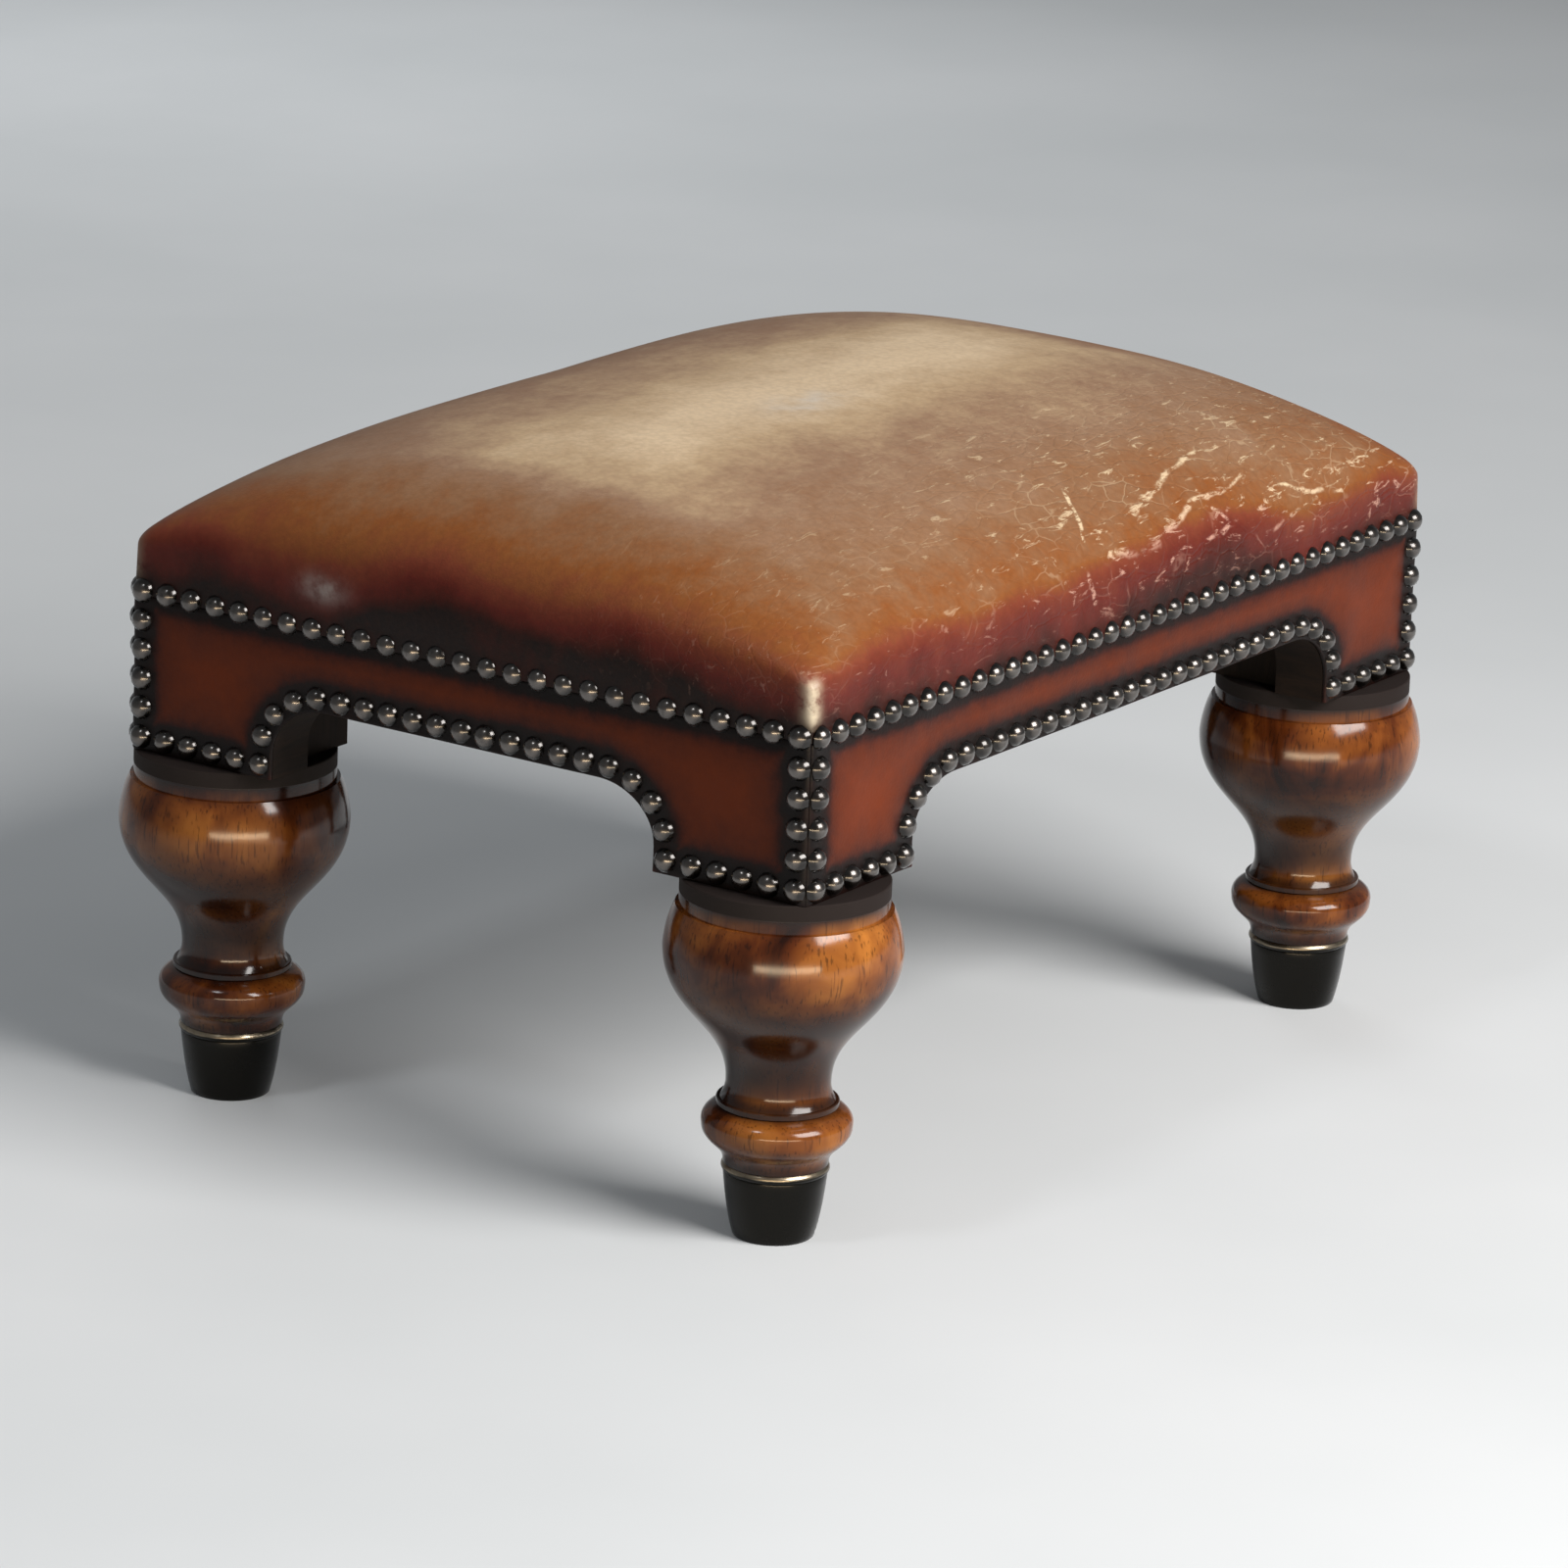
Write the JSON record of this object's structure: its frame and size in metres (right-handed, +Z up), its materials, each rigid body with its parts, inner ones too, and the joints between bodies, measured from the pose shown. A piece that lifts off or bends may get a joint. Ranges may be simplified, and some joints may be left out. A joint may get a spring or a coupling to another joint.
{
  "type": "upholstered footstool",
  "caption": "Low rectangular footstool with a crowned leather seat, nailed leather borders cut to an arch on each side, and turned wooden legs with metal ferrules.",
  "frame": {"origin": "floor level below the centre of the stool", "axes": "+X along the long side towards the right, +Y towards the back along the short side, +Z up"},
  "size_m": [0.5148, 0.3848, 0.2995],
  "materials": {
    "frame_beech": "plain sawn and planed beech",
    "dowel_beech": "plain turned beech",
    "leg_walnut": "french-polished walnut, high gloss",
    "ferrule_bronze": "darkened bronze, rubbed bright at the rim",
    "nail_bronze": "antique dark bronze, polished",
    "screw_steel": "plain steel",
    "tack_steel": "blued steel",
    "border_leather": "antiqued red-brown leather, semi-gloss",
    "top_leather": "hand-antiqued tan leather, semi-gloss, darker at the edges",
    "webbing_jute": "woven jute",
    "hessian": "plain woven hessian",
    "stuffing_fibre": "curled hair and fibre",
    "calico": "unbleached calico",
    "wadding": "cotton wadding",
    "dust_cover_cloth": "black cambric"
  },
  "bodies": {
    "root": {"border_back": "border_leather", "border_front": "border_leather", "border_left": "border_leather", "border_right": "border_leather", "calico_cover": "calico", "corner_post_back_left": "frame_beech", "corner_post_back_right": "frame_beech", "corner_post_front_left": "frame_beech", "corner_post_front_right": "frame_beech", "dust_cover": "dust_cover_cloth", "dust_cover_tacks": "tack_steel", "ferrule_back_left": "ferrule_bronze", "ferrule_back_right": "ferrule_bronze", "ferrule_front_left": "ferrule_bronze", "ferrule_front_right": "ferrule_bronze", "ferrule_screws": "screw_steel", "hessian_tacks": "tack_steel", "leg_back_left": "leg_walnut", "leg_back_right": "leg_walnut", "leg_front_left": "leg_walnut", "leg_front_right": "leg_walnut", "nails_arch_back": "nail_bronze", "nails_arch_front": "nail_bronze", "nails_arch_left": "nail_bronze", "nails_arch_right": "nail_bronze", "nails_corner_back_left": "nail_bronze", "nails_corner_back_right": "nail_bronze", "nails_corner_front_left": "nail_bronze", "nails_corner_front_right": "nail_bronze", "nails_top_back": "nail_bronze", "nails_top_front": "nail_bronze", "nails_top_left": "nail_bronze", "nails_top_right": "nail_bronze", "rail_back": "frame_beech", "rail_dowels": "dowel_beech", "rail_front": "frame_beech", "rail_left": "frame_beech", "rail_right": "frame_beech", "seat_hessian": "hessian", "seat_stuffing": "stuffing_fibre", "seat_wadding": "wadding", "top_leather": "top_leather", "webbing_cross_1": "webbing_jute", "webbing_cross_2": "webbing_jute", "webbing_cross_3": "webbing_jute", "webbing_cross_4": "webbing_jute", "webbing_long_1": "webbing_jute", "webbing_long_2": "webbing_jute", "webbing_long_3": "webbing_jute", "webbing_tacks": "tack_steel"}
  },
  "joints": []
}
